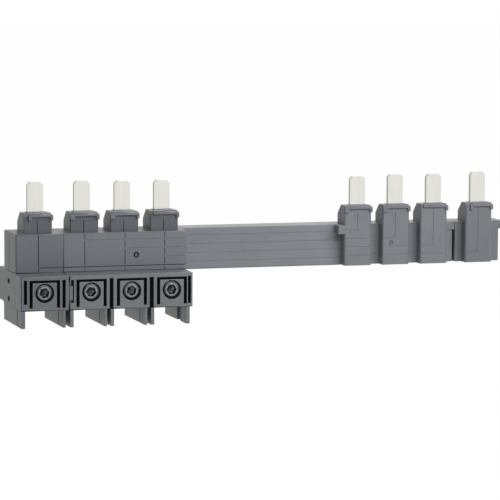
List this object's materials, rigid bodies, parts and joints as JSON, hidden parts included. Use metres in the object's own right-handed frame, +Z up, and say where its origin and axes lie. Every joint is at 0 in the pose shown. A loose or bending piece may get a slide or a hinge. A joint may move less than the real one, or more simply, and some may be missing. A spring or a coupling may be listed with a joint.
{
  "type": "terminal block jumper bar",
  "caption": "Insulated jumper bar with screw terminals and contact tabs at one end, and a flat grey bar that leads to a second row of tabs.",
  "frame": {"origin": "middle of the neutral input tab's section, level with the tops of the tower caps", "axes": "+X along the bar from the input block to the output block, +Y from the screw heads to the back, +Z up along the tabs"},
  "size_m": [0.229, 0.0456, 0.0624],
  "materials": {
    "housing_grey": "fine satin, as moulded",
    "cap_grey": "fine satin, as moulded",
    "tinned_copper": "bright tin plate on copper",
    "insulating_sheet": "smooth translucent film",
    "zinc_steel": "zinc plated",
    "screw_steel": "zinc plated, turned"
  },
  "bodies": {
    "bar": {"neutral_in_front_cover": "housing_grey", "neutral_in_rear_housing": "housing_grey", "phase_in_front_cover": "housing_grey", "phase_in_rear_housing": "housing_grey", "bar_front_cover": "housing_grey", "bar_rear_cover": "housing_grey", "phase_out_front_cover": "housing_grey", "phase_out_rear_housing": "housing_grey", "neutral_out_front_cover": "housing_grey", "neutral_out_rear_housing": "housing_grey", "in_tower_cap_1": "cap_grey", "in_tower_cap_2": "cap_grey", "in_tower_cap_3": "cap_grey", "in_tower_cap_4": "cap_grey", "out_tower_cap_1": "cap_grey", "out_tower_cap_2": "cap_grey", "out_tower_cap_3": "cap_grey", "out_tower_cap_4": "cap_grey", "neutral_conductor": "tinned_copper", "phase_1_conductor": "tinned_copper", "phase_2_conductor": "tinned_copper", "phase_3_conductor": "tinned_copper", "insulating_sheet_1": "insulating_sheet", "insulating_sheet_2": "insulating_sheet", "insulating_sheet_3": "insulating_sheet", "clamp_cage_1": "zinc_steel", "clamp_cage_2": "zinc_steel", "clamp_cage_3": "zinc_steel", "clamp_cage_4": "zinc_steel"},
    "plate_1": {"pressure_plate_1": "zinc_steel"},
    "screw_1": {"clamp_screw_1": "screw_steel"},
    "plate_2": {"pressure_plate_2": "zinc_steel"},
    "screw_2": {"clamp_screw_2": "screw_steel"},
    "plate_3": {"pressure_plate_3": "zinc_steel"},
    "screw_3": {"clamp_screw_3": "screw_steel"},
    "plate_4": {"pressure_plate_4": "zinc_steel"},
    "screw_4": {"clamp_screw_4": "screw_steel"}
  },
  "joints": [
    {"name": "plate_1_slide", "type": "slide", "parent": "bar", "child": "plate_1", "axis": [0, 1, 0], "range_m": [-0.00063, 0.00438]},
    {"name": "screw_1_turn", "type": "hinge", "parent": "plate_1", "child": "screw_1", "pos_m": [0.0001, -0.0181, -0.0334], "axis": [0, 1, 0], "range_deg": [-181, 1261]},
    {"name": "plate_2_slide", "type": "slide", "parent": "bar", "child": "plate_2", "axis": [0, 1, 0], "range_m": [-0.00063, 0.00438]},
    {"name": "screw_2_turn", "type": "hinge", "parent": "plate_2", "child": "screw_2", "pos_m": [0.0208, -0.0181, -0.0334], "axis": [0, 1, 0], "range_deg": [-181, 1261]},
    {"name": "plate_3_slide", "type": "slide", "parent": "bar", "child": "plate_3", "axis": [0, 1, 0], "range_m": [-0.00063, 0.00438]},
    {"name": "screw_3_turn", "type": "hinge", "parent": "plate_3", "child": "screw_3", "pos_m": [0.0388, -0.0181, -0.0334], "axis": [0, 1, 0], "range_deg": [-181, 1261]},
    {"name": "plate_4_slide", "type": "slide", "parent": "bar", "child": "plate_4", "axis": [0, 1, 0], "range_m": [-0.00063, 0.00438]},
    {"name": "screw_4_turn", "type": "hinge", "parent": "plate_4", "child": "screw_4", "pos_m": [0.0568, -0.0181, -0.0334], "axis": [0, 1, 0], "range_deg": [-181, 1261]}
  ],
  "couplings": [
    {"joint": "screw_1_turn", "follows": "plate_1_slide", "rad_per_m": 5026.5},
    {"joint": "screw_2_turn", "follows": "plate_2_slide", "rad_per_m": 5026.5},
    {"joint": "screw_3_turn", "follows": "plate_3_slide", "rad_per_m": 5026.5},
    {"joint": "screw_4_turn", "follows": "plate_4_slide", "rad_per_m": 5026.5}
  ]
}
